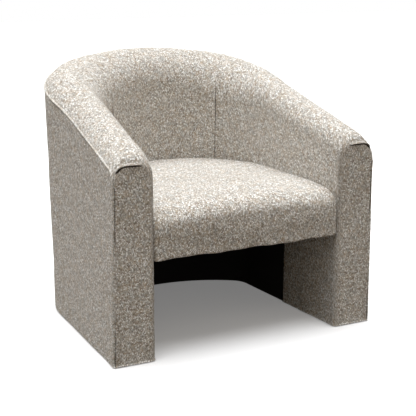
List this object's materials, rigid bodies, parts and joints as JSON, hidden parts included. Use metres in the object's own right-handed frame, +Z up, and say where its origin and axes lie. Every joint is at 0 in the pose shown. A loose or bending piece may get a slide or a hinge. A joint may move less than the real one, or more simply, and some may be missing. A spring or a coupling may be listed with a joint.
{
  "type": "tub chair",
  "caption": "Fully upholstered tub chair: one U-shaped wall sweeps up from flat-fronted arms to a rounded back, round a crowned seat over an open front.",
  "frame": {"origin": "bottom centre of the chair's bounding box, on the floor", "axes": "+Z up, the front of the chair faces -Y, +X to the right of someone looking at the front"},
  "size_m": [0.7994, 0.7757, 0.7434],
  "materials": {
    "cover_fabric": "flecked beige and taupe basket weave",
    "welt_fabric": "same weave wrapped round a cord",
    "fold_fabric": "lighter folded edge of the same weave",
    "black_lining": "matt black non-woven lining",
    "wadding": "white polyester wadding",
    "foam": "pale open-cell upholstery foam",
    "felt": "grey needled felt",
    "webbing": "dark woven elastic webbing",
    "board": "brown fibre board",
    "frame_wood": "bare planed hardwood",
    "spring_steel": "plain drawn wire",
    "zinc_steel": "zinc plated",
    "glide_plastic": "black moulded plastic"
  },
  "bodies": {
    "root": {"arm_fold_left": "fold_fabric", "arm_fold_right": "fold_fabric", "arm_front_pad_left": "foam", "arm_front_pad_right": "foam", "arm_front_post_left": "frame_wood", "arm_front_post_right": "frame_wood", "arm_middle_post_left": "frame_wood", "arm_middle_post_right": "frame_wood", "arm_top_rail_left": "frame_wood", "arm_top_rail_right": "frame_wood", "arm_welt_left": "welt_fabric", "arm_welt_right": "welt_fabric", "arm_wrap_foam_left": "foam", "arm_wrap_foam_right": "foam", "back_base_rail": "frame_wood", "back_post_left": "frame_wood", "back_post_right": "frame_wood", "back_top_rail": "frame_wood", "back_webbing": "webbing", "back_welt": "welt_fabric", "back_wrap_foam": "foam", "base_lining": "black_lining", "base_rail_left": "frame_wood", "base_rail_right": "frame_wood", "corner_blocks": "frame_wood", "corner_post_left": "frame_wood", "corner_post_right": "frame_wood", "front_seat_rail": "frame_wood", "glides": "glide_plastic", "inside_arm_board_left": "board", "inside_arm_board_right": "board", "inside_arm_cover_left": "cover_fabric", "inside_arm_cover_right": "cover_fabric", "inside_back_cover": "cover_fabric", "leg_back_board": "board", "leg_board_left": "board", "leg_board_right": "board", "leg_cover_left": "cover_fabric", "leg_cover_right": "cover_fabric", "leg_lining": "black_lining", "outside_arm_board_left": "board", "outside_arm_board_right": "board", "outside_arm_cover_left": "cover_fabric", "outside_arm_cover_right": "cover_fabric", "outside_back_board": "board", "outside_back_cover": "cover_fabric", "rail_screws": "zinc_steel", "rear_seat_rail": "frame_wood", "seat_cover": "cover_fabric", "seat_dust_cover": "black_lining", "seat_foam": "foam", "seat_front_pad": "foam", "seat_springs": "spring_steel", "seat_wadding": "wadding", "side_seat_rail_left": "frame_wood", "side_seat_rail_right": "frame_wood", "spring_clips": "zinc_steel", "spring_pad": "felt"}
  },
  "joints": []
}
